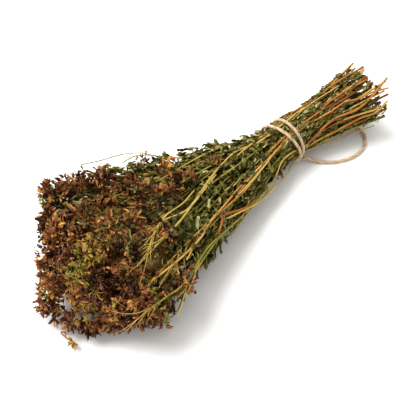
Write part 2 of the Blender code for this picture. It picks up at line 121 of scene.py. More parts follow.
room = bpy.data.worlds.new("pale_room")
room.use_nodes = True
room.node_tree.nodes["Background"].inputs["Color"].default_value = (*ROOM_WHITE, 1.0)
room.node_tree.nodes["Background"].inputs["Strength"].default_value = ROOM_STRENGTH
bpy.context.scene.world = room
bpy.context.scene.view_settings.view_transform = "Standard"
bpy.context.scene.view_settings.look = "Medium High Contrast"

table_shape = bmesh.new()
bmesh.ops.create_grid(table_shape, x_segments=1, y_segments=1, size=TABLE_SIDE / 2)
table_mesh = bpy.data.meshes.new("table")
table_shape.to_mesh(table_mesh)
table_shape.free()
table = bpy.data.objects.new("table", table_mesh)
bpy.context.scene.collection.objects.link(table)
table_paint, tree, shader = new_material("white_table", 0.7)
faint = put(tree, "ShaderNodeTexNoise", {"Scale": 3.0, "Detail": 2.0})
white = colour_ramp(tree, faint.outputs["Fac"], ((0.3, TABLE_WHITE), (0.7, (0.92, 0.92, 0.91))))
tree.links.new(white, shader.inputs["Base Color"])
table_mesh.materials.append(table_paint)


# The slack of the twine: what is left of the jute string that ties the bunch, three plies laid
# together. It leaves the hitch, falls to the table beside the cut ends, and comes back under
# them to the tie.

TIE_X = 0.0950
TIE_Y = 0.0060
TWINE_RADIUS = 0.0017
SLACK_ROUTE = (
    (0.0055, -0.0196, 0.0075),
    (0.0110, -0.0240, 0.0050),
    (0.0180, -0.0322, 0.0024),
    (0.0300, -0.0422, TWINE_RADIUS),
    (0.0460, -0.0486, TWINE_RADIUS),
    (0.0620, -0.0482, TWINE_RADIUS),
    (0.0740, -0.0406, TWINE_RADIUS),
    (0.0790, -0.0285, TWINE_RADIUS),
    (0.0740, -0.0156, TWINE_RADIUS),
    (0.0600, -0.0063, TWINE_RADIUS),
    (0.0430, -0.0022, TWINE_RADIUS),
    (0.0250, -0.0015, TWINE_RADIUS),
    (0.0130, -0.0037, TWINE_RADIUS),
    (0.0060, -0.0056, TWINE_RADIUS),
)
SLACK_STEPS = 16
PRESSED = 0.0020  # what lies lower than this is pressed flat on the table
CREASE = math.radians(60)
PLIES = 3
PLY_OFFSET = 0.54  # the plies' middles and their thickness, as shares of the twine's radius
PLY_THICKNESS = 0.47
PLY_LAY = 0.0105  # length of one full turn
PLY_SIDES = 7
FIBRES_A_METRE = 2600
FIBRE_REACH = (0.0008, 0.0030)
FIBRE_RADIUS = 0.00008


def new_shape():
    """An empty shape whose points carry a tint and a place along the strand or blade."""
    shape = bmesh.new()
    shape.verts.layers.float.new("tint")
    shape.verts.layers.float_vector.new("grain")
    return shape


def press_flat(shape):
    """Lifts what would sink into the table, so that it lies pressed together on it."""
    for vertex in shape.verts:
        if vertex.co.z < PRESSED:
            vertex.co.z = PRESSED * math.exp(vertex.co.z / PRESSED - 1)


def crease(shape):
    """Turns a small model's faces outwards, and keeps the edges of its thin blades crisp."""
    bmesh.ops.recalc_face_normals(shape, faces=shape.faces)
    for edge in shape.edges:
        edge.smooth = edge.calc_face_angle(0.0) < CREASE


def finish_piece(shape, name, materials, slot, replaced=()):
    """Makes a shape one smooth piece of the bunch."""
    if slot != "jute":
        press_flat(shape)
    for face in shape.faces:
        face.smooth = True
    mesh = bpy.data.meshes.new(name)
    shape.to_mesh(mesh)
    shape.free()
    for material in materials:
        mesh.materials.append(material)
    piece = bpy.data.objects.new(name, mesh)
    bpy.context.scene.collection.objects.link(piece)
    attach(piece, "root")
    if replaced:
        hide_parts(*replaced)
    return piece


def smooth_route(route, steps):
    """Points along a Catmull-Rom curve through the route."""
    places = [Vector(place) for place in route]
    padded = [2 * places[0] - places[1], *places, 2 * places[-1] - places[-2]]
    found = []
    for before, start, end, after in zip(padded, padded[1:], padded[2:], padded[3:]):
        for step in range(steps):
            t = step / steps
            bend = 2 * before - 5 * start + 4 * end - after
            twist = 3 * start - before - 3 * end + after
            found.append(0.5 * (2 * start + (end - before) * t + bend * t**2 + twist * t**3))
    found.append(places[-1])
    return found


def frames_along(points):
    """Each point of a line with the direction there and a cross direction that turns least."""
    found = []
    across = None
    for index, point in enumerate(points):
        before = points[max(index - 1, 0)]
        after = points[min(index + 1, len(points) - 1)]
        ahead = (after - before).normalized()
        if across is None:
            across = ahead.orthogonal()
        across = (across - ahead * across.dot(ahead)).normalized()
        found.append((point, ahead, across))
    return found


def join(target, shape):
    """Adds a shape to another and frees it."""
    mesh = bpy.data.meshes.new("joined")
    shape.to_mesh(mesh)
    shape.free()
    target.from_mesh(mesh)
    bpy.data.meshes.remove(mesh)


def add_strand(target, points, radii, sides, tints):
    """Extrudes a closed round strand along the points, its radius and tint given at each."""
    shape = new_shape()
    shade = shape.verts.layers.float["tint"]
    grain = shape.verts.layers.float_vector["grain"]
    ring = bmesh.ops.create_circle(shape, segments=sides, radius=1.0)["verts"]
    first_edges = edges = list(shape.edges)
    travelled = 0.0
    placed = Matrix()
    for index, (point, ahead, across) in enumerate(frames_along(points)):
        if index:
            travelled += (point - points[index - 1]).length
            made = bmesh.ops.extrude_edge_only(shape, edges=edges)["geom"]
            ring = [part for part in made if isinstance(part, bmesh.types.BMVert)]
            edges = [part for part in made if isinstance(part, bmesh.types.BMEdge)]
            edges = [edge for edge in edges if all(vertex in ring for vertex in edge.verts)]
        turned = Matrix((across, ahead.cross(across), ahead)).transposed().to_4x4()
        now = Matrix.Translation(point) @ turned @ Matrix.Scale(radii[index], 4)
        bmesh.ops.transform(shape, matrix=now @ placed.inverted(), verts=ring)
        placed = now
        flat = now.inverted()
        for vertex in ring:
            local = flat @ vertex.co
            vertex[shade] = tints[index]
            vertex[grain] = (travelled, local.x * radii[index], local.y * radii[index])
    bmesh.ops.contextual_create(shape, geom=first_edges)
    bmesh.ops.contextual_create(shape, geom=edges)
    bmesh.ops.recalc_face_normals(shape, faces=shape.faces)
    join(target, shape)


def place_along(origin, heading, facing):
    """The matrix that puts a small model at the origin, its length along heading."""
    ahead = heading.normalized()
    side = facing.cross(ahead)
    side = side.normalized() if side.length > 1e-6 else ahead.orthogonal().normalized()
    turned = Matrix((ahead, side, ahead.cross(side))).transposed().to_4x4()
    return Matrix.Translation(origin) @ turned


def stamp(shape, model, matrix, tint, offset=0.0):
    """Adds a copy of a small model to a shape, with its own tint and its own patch of mottling."""
    placed = model.copy()
    placed.transform(matrix)
    count = len(placed.vertices)
    shades = np.empty(count, np.float32)
    placed.attributes["tint"].data.foreach_get("value", shades)
    placed.attributes["tint"].data.foreach_set("value", shades + np.float32(tint))
    grains = np.empty(3 * count, np.float32)
    placed.attributes["grain"].data.foreach_get("vector", grains)
    grains[2::3] += np.float32(offset)
    placed.attributes["grain"].data.foreach_set("vector", grains)
    shape.from_mesh(placed)
    bpy.data.meshes.remove(placed)


def rod_model(sides, tip):
    """A short straight rod of unit length and radius along +X, its far end narrowed to tip."""
    shape = new_shape()
    grain = shape.verts.layers.float_vector["grain"]
    bmesh.ops.create_cone(
        shape, cap_ends=True, segments=sides, radius1=1.0, radius2=tip, depth=1.0
    )
    bmesh.ops.translate(shape, vec=(0, 0, 0.5), verts=shape.verts)
    bmesh.ops.rotate(shape, matrix=Matrix.Rotation(math.radians(90), 3, "Y"), verts=shape.verts)
    for vertex in shape.verts:
        vertex[grain] = (vertex.co.x * 0.01, vertex.co.y * 0.001, vertex.co.z * 0.001)
    mesh = bpy.data.meshes.new("rod_model")
    shape.to_mesh(mesh)
    shape.free()
    return mesh


def add_rod(shape, model, start, end, radius, tint, offset=0.0):
    along = end - start
    size = Matrix.Diagonal((along.length, radius, radius, 1.0))
    stamp(shape, model, place_along(start, along, Vector((0, 0, 1))) @ size, tint, offset)


FIBRE = rod_model(3, 0.5)


def add_twine(shape, points, rng):
    """Lays the plies round the line of the twine, with loose fibres standing off it."""
    path = frames_along(points)
    travelled = [0.0]
    for before, after in zip(points, points[1:]):
        travelled.append(travelled[-1] + (after - before).length)
    for ply in range(PLIES):
        line = []
        for (point, ahead, across), place in zip(path, travelled):
            angle = 2 * math.pi * (place / PLY_LAY + ply / PLIES)
            away = across * math.cos(angle) + ahead.cross(across) * math.sin(angle)
            line.append(point + away * TWINE_RADIUS * PLY_OFFSET)
        radius = TWINE_RADIUS * PLY_THICKNESS
        shades = [rng.uniform(0.25, 0.75)] * len(line)
        add_strand(shape, line, [radius] * len(line), PLY_SIDES, shades)
    for _ in range(int(travelled[-1] * FIBRES_A_METRE)):
        point, ahead, across = rng.choice(path)
        away = Matrix.Rotation(rng.uniform(0, 2 * math.pi), 3, ahead) @ across
        start = point + away * TWINE_RADIUS * 0.85
        reach = rng.uniform(*FIBRE_REACH)
        lean = ahead * rng.choice((-1, 1)) * rng.uniform(0.6, 1.6)
        middle = start + (away * 0.45 + lean * 0.5) * reach
        end = start + (away * rng.uniform(0.3, 0.9) + lean) * reach
        end.z = max(end.z, FIBRE_RADIUS)
        middle.z = max(middle.z, FIBRE_RADIUS)
        tint = rng.uniform(0.5, 0.9)
        add_rod(shape, FIBRE, start, middle, FIBRE_RADIUS, tint)
        add_rod(shape, FIBRE, middle, end, FIBRE_RADIUS * 0.6, tint)


def dried_mottle():
    """The blotches and the fine streaks that all the dried parts share, laid along their grain."""
    group = bpy.data.node_groups.new("dried_mottle", "ShaderNodeTree")
    for name, kind in (
        ("Grain", "Vector"),
        ("Blotch Size", "Vector"),
        ("Streak Size", "Vector"),
        ("Blotches", "Float"),
        ("Streaks", "Float"),
        ("Tint", "Float"),
    ):
        group.interface.new_socket(name, in_out="INPUT", socket_type="NodeSocket" + kind)
    for name in ("Shade", "Relief"):
        group.interface.new_socket(name, in_out="OUTPUT", socket_type="NodeSocketFloat")
    given = group.nodes.new("NodeGroupInput").outputs
    result = group.nodes.new("NodeGroupOutput").inputs
    found = []
    for size, strength, detail in (
        ("Blotch Size", "Blotches", 3.0),
        ("Streak Size", "Streaks", 2.0),
    ):
        place = put(
            group, "ShaderNodeVectorMath", {0: given["Grain"], 1: given[size]}, operation="MULTIPLY"
        )
        pattern = put(
            group,
            "ShaderNodeTexNoise",
            {"Vector": place.outputs["Vector"], "Scale": 1.0, "Detail": detail, "Roughness": 0.6},
        )
        centred = put(
            group, "ShaderNodeMath", {0: pattern.outputs["Fac"], 1: 0.5}, operation="SUBTRACT"
        )
        scaled = put(
            group,
            "ShaderNodeMath",
            {0: centred.outputs["Value"], 1: given[strength]},
            operation="MULTIPLY",
        )
        found.append((pattern.outputs["Fac"], scaled.outputs["Value"]))
    both = put(group, "ShaderNodeMath", {0: found[0][1], 1: found[1][1]}, operation="ADD")
    shade = put(
        group, "ShaderNodeMath", {0: both.outputs["Value"], 1: given["Tint"]}, operation="ADD"
    )
    relief = put(group, "ShaderNodeMath", {0: found[0][0], 1: found[1][0]}, operation="ADD")
    group.links.new(shade.outputs["Value"], result["Shade"])
    group.links.new(relief.outputs["Value"], result["Relief"])
    return group


MOTTLE = dried_mottle()


def dried_material(name, roughness, stops, blotches, streaks, relief):
    """A dried surface: colours picked by tint and mottling, with a fine relief of the same.

    Blotches and streaks are each a size along, across and through the grain, and a strength.
    """
    material, tree, shader = new_material(name, roughness)
    tint = put(tree, "ShaderNodeAttribute", attribute_name="tint")
    grain = put(tree, "ShaderNodeAttribute", attribute_name="grain")
    mottle = put(tree, "ShaderNodeGroup", node_tree=MOTTLE)
    mottle.inputs["Blotch Size"].default_value = blotches[0]
    mottle.inputs["Blotches"].default_value = blotches[1]
    mottle.inputs["Streak Size"].default_value = streaks[0]
    mottle.inputs["Streaks"].default_value = streaks[1]
    tree.links.new(grain.outputs["Vector"], mottle.inputs["Grain"])
    tree.links.new(tint.outputs["Fac"], mottle.inputs["Tint"])
    colour = colour_ramp(tree, mottle.outputs["Shade"], stops)
    tree.links.new(colour, shader.inputs["Base Color"])
    bump = put(
        tree, "ShaderNodeBump", {"Height": mottle.outputs["Relief"], "Distance": relief, "Strength": 0.8}
    )
    tree.links.new(bump.outputs["Normal"], shader.inputs["Normal"])
    return material


JUTE = dried_material(
    "jute",
    0.85,
    ((0.0, (0.26, 0.16, 0.09)), (0.4, (0.52, 0.37, 0.23)), (0.75, (0.72, 0.57, 0.40)), (1.0, (0.83, 0.71, 0.55))),
    ((240, 600, 600), 0.5),
    ((500, 5200, 5200), 0.5),
    0.0002,
)

tie_place = Vector((TIE_X, TIE_Y, 0))
slack_line = [tie_place + place for place in smooth_route(SLACK_ROUTE, SLACK_STEPS)]
for place in slack_line:
    place.z = max(place.z, TWINE_RADIUS)
slack_shape = new_shape()
add_twine(slack_shape, slack_line, random.Random(11))
slack = finish_piece(slack_shape, "twine_slack", [JUTE], "jute", ["twine_loop"])


# The tie: the same twine, passed twice round the stems and hitched low on the near side. The two
# wraps lie together at the hitch and part on the far side, where one has slipped to the flowers.

WAIST = 0.0185
BLOOM_SLOPES = (0.385, 0.100)
BUTT_SLOPES = (0.270, 0.225)
BUTT_LENGTH = (0.086, 0.104)
BUTT_SPAN = 0.112
HEAD_DISTANCE = 0.278
TWIST = 0.35
LIFT_AT_TIE = 0.0056
LIFT_AT_BUTTS = 0.0080
BUTT_SWAY = (-0.17, 0.020)  # the cut ends lean to -Y, from that far behind the tie
LIFT_AT_HEADS = 0.0150
STEM_RADIUS = 0.0016
BARE_RADIUS = 0.0012  # of a stem without its leaves
WRAP_RADIUS = WAIST + STEM_RADIUS + TWINE_RADIUS + 0.0002
WRAP_PITCH = 0.0028
WRAP_SLIPS = (0.0015, 0.0130)
WRAP_POINTS = 150
HITCH_ANGLE = math.radians(222)
HITCH_RING = 0.0030
HITCH_RISE = (0.0008, 0.00135)
HITCH_POINTS = 48
HITCH_TURNS = (-0.0016, 0.0018)  # the hitch's two turns, along the wraps


def half_width(distance):
    """Half the bunch's width at a distance from the tie, positive towards the flowers."""
    slope = BLOOM_SLOPES[0] if distance > 0 else BUTT_SLOPES[0]
    return math.hypot(WAIST, slope * distance)


def half_height(distance):
    slope = BLOOM_SLOPES[1] if distance > 0 else BUTT_SLOPES[1]
    return math.hypot(WAIST, slope * distance)


def lift(distance):
    """How far the underside of the bunch is above the table."""
    if distance > 0:
        return LIFT_AT_TIE + (LIFT_AT_HEADS - LIFT_AT_TIE) * (distance / HEAD_DISTANCE) ** 1.5
    return LIFT_AT_TIE + (LIFT_AT_BUTTS - LIFT_AT_TIE) * (-distance / BUTT_SPAN)


def wrap_line(offset, slips):
    """A turn round the stems that starts and ends under the hitch."""
    middle = lift(0) + half_height(0)
    points = []
    for index in range(WRAP_POINTS + 1):
        angle = HITCH_ANGLE + 2 * math.pi * index / WRAP_POINTS
        slip = slips * (1 - math.cos(angle - HITCH_ANGLE)) / 2
        reach = WRAP_RADIUS * half_width(slip) / WAIST
        points.append(
            Vector(
                (
                    TIE_X + offset - slip,
                    TIE_Y + reach * math.cos(angle),
                    max(TWINE_RADIUS, middle + reach * math.sin(angle)),
                )
            )
        )
    return points


def hitch_line(shift):
    """A turn of the hitch round both wraps."""
    middle = Vector((TIE_X, TIE_Y, lift(0) + half_height(0)))
    outward = Vector((0, math.cos(HITCH_ANGLE), math.sin(HITCH_ANGLE)))
    onward = Vector((0, -math.sin(HITCH_ANGLE), math.cos(HITCH_ANGLE)))
    points = []
    for index in range(HITCH_POINTS + 1):
        turn = 2 * math.pi * index / HITCH_POINTS
        reach = WRAP_RADIUS + HITCH_RISE[0] + HITCH_RISE[1] * math.cos(turn)
        along = Vector((HITCH_RING * math.sin(turn), 0, 0))
        points.append(middle + outward * reach + along + onward * (shift + 0.0006 * math.sin(turn)))
    return points


tie_shape = new_shape()
tie_rng = random.Random(12)
for offset, slips in zip((WRAP_PITCH / 2, -WRAP_PITCH / 2), WRAP_SLIPS):
    add_twine(tie_shape, wrap_line(offset, slips), tie_rng)
for shift in HITCH_TURNS:
    add_twine(tie_shape, hitch_line(shift), tie_rng)
finish_piece(tie_shape, "twine_wraps", [JUTE], "jute", ["twine_tie"])


# The stems: dry, woody and a little ridged, with a swollen joint every three centimetres or so.
# They run side by side through the tie and fan out to both ends. Golden or olive, they redden
# towards the cut ends.

STEM_COUNT = 28
HEART_STEMS = 10
GOLDEN_ANGLE = math.pi * (3 - math.sqrt(5))
SEED = 7
HEADLESS_STEMS = (0, 2, 3, 5, 7, 17, 24)
BROKEN_DISTANCE = (0.13, 0.19)
HEAD_STAGGER = 0.120
HEAD_DOME = 0.030
HEAD_SLANT = 0.020
HEAD_STEPS = 23
HEAD_STALK = 0.0140
STEM_TIP_SHARE = 0.62
STEM_WANDER = 0.0019
STEM_WAVE = 38
STEM_SIDES = 7
STEM_STEP = 0.003
JOINT_SPACING = (0.024, 0.033)
JOINT_SWELL = 0.30
JOINT_REACH = 0.0016
JOINT_KINK = 0.0007
THIN_COUNT = 56
THIN_RADIUS = (0.0007, 0.0011)
THIN_WANDER = 0.0022
THIN_RINGS = (0.22, 0.92)
THIN_BUTT = (0.076, 0.102)
THIN_END = (0.12, 0.235)
TOP_COUNT = 4
TOP_RADIUS = (0.0007, 0.0011)
TOP_RING = (0.96, 1.05)
TOP_RISE = 0.05  # how much further out they lie beyond the tie
TOP_ANGLES = (25, 185)  # the upper and the near side, in degrees
TOP_END = (0.15, 0.235)
TOP_WANDER = 0.0040
PITH_TINT = 0.42


def sway(distance):
    """How far the middle of the bunch is off to +Y of the tie."""
    slope, start = BUTT_SWAY
    return slope * (math.hypot(distance, start) - start) if distance < 0 else 0.0


def bundle_point(ring, angle, distance):
    """A place in the bunch: its ring from the middle outwards, its angle, its distance."""
    turned = angle + TWIST * math.atan2(BUTT_SLOPES[0] * distance, WAIST)
    height = half_height(distance)
    return Vector(
        (
            TIE_X - distance,
            TIE_Y + sway(distance) + half_width(distance) * ring * math.cos(turned),
            lift(distance) + height + height * ring * math.sin(turned),
        )
    )


class Stem:
    """One stem of the bunch, from its cut end to its tip."""

    def __init__(self, index):
        rng = random.Random(SEED * 1000 + index)
        self.index = index
        self.ring = math.sqrt((index + 0.5) / STEM_COUNT)
        self.angle = index * GOLDEN_ANGLE
        self.broken = index in HEADLESS_STEMS
        self.butt = -rng.uniform(*BUTT_LENGTH)
        self.end = rng.uniform(*BROKEN_DISTANCE)
        self.head = None
        self.phase = rng.uniform(0, 2 * math.pi)
        self.radius = BARE_RADIUS
        self.wander = STEM_WANDER
        self.rise = 0.0
        self.set_joints()

    def set_joints(self):
        rng = random.Random(SEED * 9000 + self.index)
        self.joints = []
        self.kinks = []
        place = self.butt + rng.uniform(0.008, 0.02)
        while place < HEAD_DISTANCE:
            self.joints.append(place)
            turn = rng.uniform(0, 2 * math.pi)
            self.kinks.append(Vector((0, math.cos(turn), math.sin(turn))) * JOINT_KINK)
            place += rng.uniform(*JOINT_SPACING) * (1.0 if place < 0.12 else 0.7)
        self.tint = rng.random()

    def point(self, distance):
        ring = self.ring + self.rise * max(0.0, min(1.0, distance / 0.05))
        place = bundle_point(ring, self.angle, distance)
        fade = min(1.0, abs(distance) / 0.05)
        swing = self.phase + STEM_WAVE * distance
        place.y += self.wander * fade * math.sin(swing)
        place.z += self.wander * fade * math.cos(1.3 * swing)
        return place

    def kinked(self, distance):
        """The stem's line with the slight change of direction at each joint."""
        place = self.point(distance)
        for (start, kink), (stop, after) in zip(
            zip(self.joints, self.kinks), zip(self.joints[1:], self.kinks[1:])
        ):
            if start <= distance < stop:
                share = (distance - start) / (stop - start)
                return place + kink.lerp(after, share)
        return place

    def direction(self, distance):
        return (self.point(distance + 0.002) - self.point(distance - 0.002)).normalized()

    def outward(self, distance):
        """Away from the bunch's middle, square to the stem."""
        away = self.point(distance) - bundle_point(0, 0, distance)
        ahead = self.direction(distance)
        away -= ahead * away.dot(ahead)
        return away.normalized() if away.length > 1e-5 else Vector((0, 0, 1))

    def radius_at(self, distance):
        share = (distance - self.butt) / (HEAD_DISTANCE - self.butt)
        radius = self.radius * (1 - (1 - STEM_TIP_SHARE) * share)
        near = min(abs(distance - joint) for joint in self.joints)
        return radius * (1 + JOINT_SWELL * math.exp(-((near / JOINT_REACH) ** 2)))


def spread_heads(stems):
    """Gives each flowering stem its head's distance, far from the heads before it."""
    steps = [
        HEAD_DISTANCE - HEAD_STAGGER * step / (HEAD_STEPS - 1) for step in range(HEAD_STEPS)
    ]
    placed = []
    for stem in sorted(stems, key=lambda stem: -stem.ring):
        if stem.broken:
            continue
        side = (stem.point(HEAD_DISTANCE).y - TIE_Y) / half_width(HEAD_DISTANCE)
        nearest = HEAD_DISTANCE - HEAD_STAGGER * stem.ring
        furthest = HEAD_DISTANCE - HEAD_DOME * stem.ring**2 - HEAD_SLANT * side
        open_steps = [step for step in steps if nearest <= step <= furthest]
        rooms = [
            min([(stem.point(step) - other).length for other in placed] or [1])
            for step in open_steps
        ]
        stem.head = open_steps[rooms.index(max(rooms))]
        stem.end = stem.head - HEAD_STALK
        placed.append(stem.point(stem.head))


def thin_stems(stems):
    """Thinner stems in the gaps between the others, each where it has most room at the tie."""
    rng = random.Random(31)
    taken = [(stem.ring * math.cos(stem.angle), stem.ring * math.sin(stem.angle)) for stem in stems]
    found = []
    for index in range(THIN_COUNT):
        tries = []
        for _ in range(40):
            ring = rng.uniform(*THIN_RINGS) ** 0.5 * THIN_RINGS[1] ** 0.5
            angle = rng.uniform(0, 2 * math.pi)
            spot = (ring * math.cos(angle), ring * math.sin(angle))
            tries.append((min(math.dist(spot, other) for other in taken), ring, angle, spot))
        _, ring, angle, spot = max(tries)
        taken.append(spot)
        stem = Stem(100 + index)
        stem.ring = ring
        stem.angle = angle
        stem.butt = -rng.uniform(*THIN_BUTT)
        stem.end = rng.uniform(*THIN_END)
        stem.radius = rng.uniform(*THIN_RADIUS)
        stem.wander = THIN_WANDER
        stem.set_joints()
        found.append(stem)
    return found


def top_stems():
    """Bare thin stems that lie over the leaves on the sides that the light falls on."""
    rng = random.Random(47)
    found = []
    for index in range(TOP_COUNT):
        stem = Stem(200 + index)
        share = (index + rng.uniform(0.1, 0.9)) / TOP_COUNT
        stem.angle = math.radians(TOP_ANGLES[0] + (TOP_ANGLES[1] - TOP_ANGLES[0]) * share)
        stem.ring = rng.uniform(*TOP_RING)
        stem.rise = TOP_RISE
        stem.end = rng.uniform(*TOP_END)
        stem.radius = rng.uniform(*TOP_RADIUS)
        stem.wander = TOP_WANDER
        stem.set_joints()
        stem.tint = rng.uniform(0.15, 0.75)
        found.append(stem)
    return found


def add_stem(shape, stem):
    """The stem, reddest at its cut end, whose pale pith shows."""
    count = int((stem.end - stem.butt) / STEM_STEP)
    places = [stem.butt + (stem.end - stem.butt) * step / count for step in range(count + 1)]
    points = [stem.kinked(place) for place in places]
    radii = [stem.radius_at(place) for place in places]
    tints = [
        0.06 + 0.56 * stem.tint + 0.30 * max(0.0, min(1.0, 0.3 - place / 0.14)) for place in places
    ]
    pith = points[0] + (points[0] - points[1]) * 0.02
    add_strand(shape, [pith, *points], [radii[0] * 0.55, *radii], STEM_SIDES, [PITH_TINT, *tints])


STEM_BARK = dried_material(
    "dried_stem",
    0.55,
    (
        (0.0, (0.14, 0.15, 0.022)),
        (0.20, (0.30, 0.26, 0.040)),
        (0.38, (0.56, 0.39, 0.120)),
        (0.58, (0.42, 0.20, 0.036)),
        (0.78, (0.34, 0.12, 0.026)),
        (1.0, (0.14, 0.045, 0.018)),
    ),
    ((30, 160, 160), 0.7),
    ((120, 2600, 2600), 0.35),
    0.0002,
)

stems = [Stem(index) for index in range(STEM_COUNT)]
spread_heads(stems)
slender = thin_stems(stems)
uppermost = top_stems()


# The leaves: small and oval, opposite each other at every joint, dried sage, olive or brown. They
# have crumpled and rolled as they dried, and lie packed between the stems as far as the cut ends.

LEAF_KINDS = 10
LEAF_SIZE = (0.0065, 0.0135)
LEAF_WIDTH = 0.50  # over its length
LEAF_THICKNESS = 0.028
LEAF_LEAN = (8, 48)
LEAF_STEP = 0.5
PACKED_LEAVES = 5400
PACKED_PIECES = 8
PACKED_DISTANCE = (-0.006, 0.245)
PACKED_BUTTS = (-0.094, 0.004)
BUTTS_SHARE = 0.40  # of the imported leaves
FAR_FUZZ = 0.42  # how far the leaves stand out of the far side, over that span
FAR_SPAN = (0.060, 0.185)


def leaf_model(number):
    """One crumpled leaf of unit length, its stalk end at the origin and its tip along +X."""
    rng = random.Random(500 + number)
    shape = new_shape()
    shade = shape.verts.layers.float["tint"]
    grain = shape.verts.layers.float_vector["grain"]
    bmesh.ops.create_uvsphere(shape, u_segments=6, v_segments=6, radius=0.5)
    bmesh.ops.rotate(shape, matrix=Matrix.Rotation(math.radians(90), 3, "Y"), verts=shape.verts)
    bmesh.ops.scale(shape, vec=(1.0, LEAF_WIDTH, LEAF_THICKNESS), verts=shape.verts)
    bmesh.ops.translate(shape, vec=(0.5, 0, 0), verts=shape.verts)
    curl = rng.uniform(-0.35, 0.75)
    roll = rng.uniform(0.5, 2.6)
    twist = rng.uniform(-1.3, 1.3)
    crumple = rng.uniform(0.12, 0.24)
    drift = Vector((rng.uniform(0, 50), rng.uniform(0, 50), rng.uniform(0, 50)))
    for vertex in shape.verts:
        along, across, up = vertex.co
        vertex[grain] = (along, across, 0)
        vertex[shade] = 0.06 * noise.noise(Vector((along * 5, across * 9, 3)) + drift)
        across *= 0.75 + 0.5 * math.sin(math.pi * along**0.8)
        bend = roll * 2 * abs(across) / LEAF_WIDTH
        height = math.copysign(abs(across), 1) * math.sin(bend) * 0.8
        across = across * math.cos(bend * 0.6)
        height += crumple * noise.noise(Vector((along * 4, across * 7, 0)) + drift)
        across += crumple * 0.6 * noise.noise(Vector((along * 4, across * 7, 9)) + drift)
        turn = twist * along
        y = across * math.cos(turn) - (height + up) * math.sin(turn)
        z = across * math.sin(turn) + (height + up) * math.cos(turn)
        bow = curl * along * along
        vertex.co = Vector((along * math.cos(bow * 0.8), y, z + along * math.sin(bow)))
    crease(shape)
    mesh = bpy.data.meshes.new("leaf_model")
    for face in shape.faces:
        face.material_index = 1
    shape.to_mesh(mesh)
    shape.free()
    return mesh


def leaf_tint(rng):
    """Mostly olive and sage, some dark green, few yellowed or brown."""
    return min(1.0, max(0.0, rng.gauss(0.44, 0.22)))


# shade lowers the leaf's tint: painted shade, for leaves that lie deep in the bunch.
def add_leaf(shape, origin, heading, facing, size, rng, shade=0.0):
    matrix = place_along(origin, heading, facing) @ Matrix.Scale(size, 4)
    stamp(shape, rng.choice(LEAVES), matrix, max(0.0, leaf_tint(rng) - shade), rng.uniform(0, 40))


def add_stem_leaves(shape, stem, count, rng):
    """Leaves round every joint of a stem, turned a quarter from one joint to the next."""
    for number, joint in enumerate(stem.joints):
        if not stem.butt + 0.014 < joint < stem.end - 0.004:
            continue
        ahead = stem.direction(joint)
        outward = stem.outward(joint)
        quarter = number * math.pi / 2 + rng.uniform(-0.3, 0.3)
        for leaf in range(count):
            turn = quarter + leaf * math.pi + rng.uniform(-0.4, 0.4)
            side = Matrix.Rotation(turn, 3, ahead) @ outward
            lean = math.radians(rng.uniform(*LEAF_LEAN)) * (1.0 if joint > 0.03 else 0.5)
            heading = ahead * math.cos(lean) + side * math.sin(lean)
            size = rng.uniform(*LEAF_SIZE) * (1.0 if leaf < 2 else 0.62)
            size *= 1.0 if joint > 0.03 else 0.7
            where = stem.point(joint + rng.uniform(-0.002, 0.002)) + side * stem.radius * 0.6
            facing = Matrix.Rotation(rng.uniform(-1.2, 1.2), 3, heading) @ side
            add_leaf(shape, where, heading, facing, size, rng)


LEAF_BLADE = dried_material(
    "dried_leaf",
    0.72,
    (
        (0.0, (0.014, 0.015, 0.004)),
        (0.18, (0.060, 0.060, 0.012)),
        (0.38, (0.150, 0.135, 0.030)),
        (0.56, (0.265, 0.242, 0.072)),
        (0.74, (0.400, 0.392, 0.195)),
        (0.88, (0.400, 0.300, 0.075)),
        (1.0, (0.230, 0.105, 0.032)),
    ),
    ((5, 8, 1), 0.45),
    ((26, 34, 1), 0.22),
    0.0004,
)
PLANT = [STEM_BARK, LEAF_BLADE]
LEAVES = [leaf_model(number) for number in range(LEAF_KINDS)]

for stem in stems[HEART_STEMS:]:
    shape = new_shape()
    add_stem(shape, stem)
    add_stem_leaves(shape, stem, 5, random.Random(600 + stem.index))
    number = f"{stem.index + 1:02d}"
    finish_piece(shape, "leafy_stem_" + number, PLANT, "dry_stem_and_leaf", ["stem_" + number])

shape = new_shape()
for stem in stems[:HEART_STEMS]:
    add_stem(shape, stem)
    add_stem_leaves(shape, stem, 2, random.Random(600 + stem.index))
finish_piece(
    shape, "inner_leafy_stems", PLANT, "dry_stem_and_leaf", ["inner_stems_and_leaves"]
)

for start in range(0, THIN_COUNT, 14):
    shape = new_shape()
    for stem in slender[start : start + 14]:
        add_stem(shape, stem)
        add_stem_leaves(shape, stem, 2, random.Random(600 + stem.index))
    finish_piece(shape, f"thin_stems_{start // 14 + 1}", PLANT, "dry_stem_and_leaf")

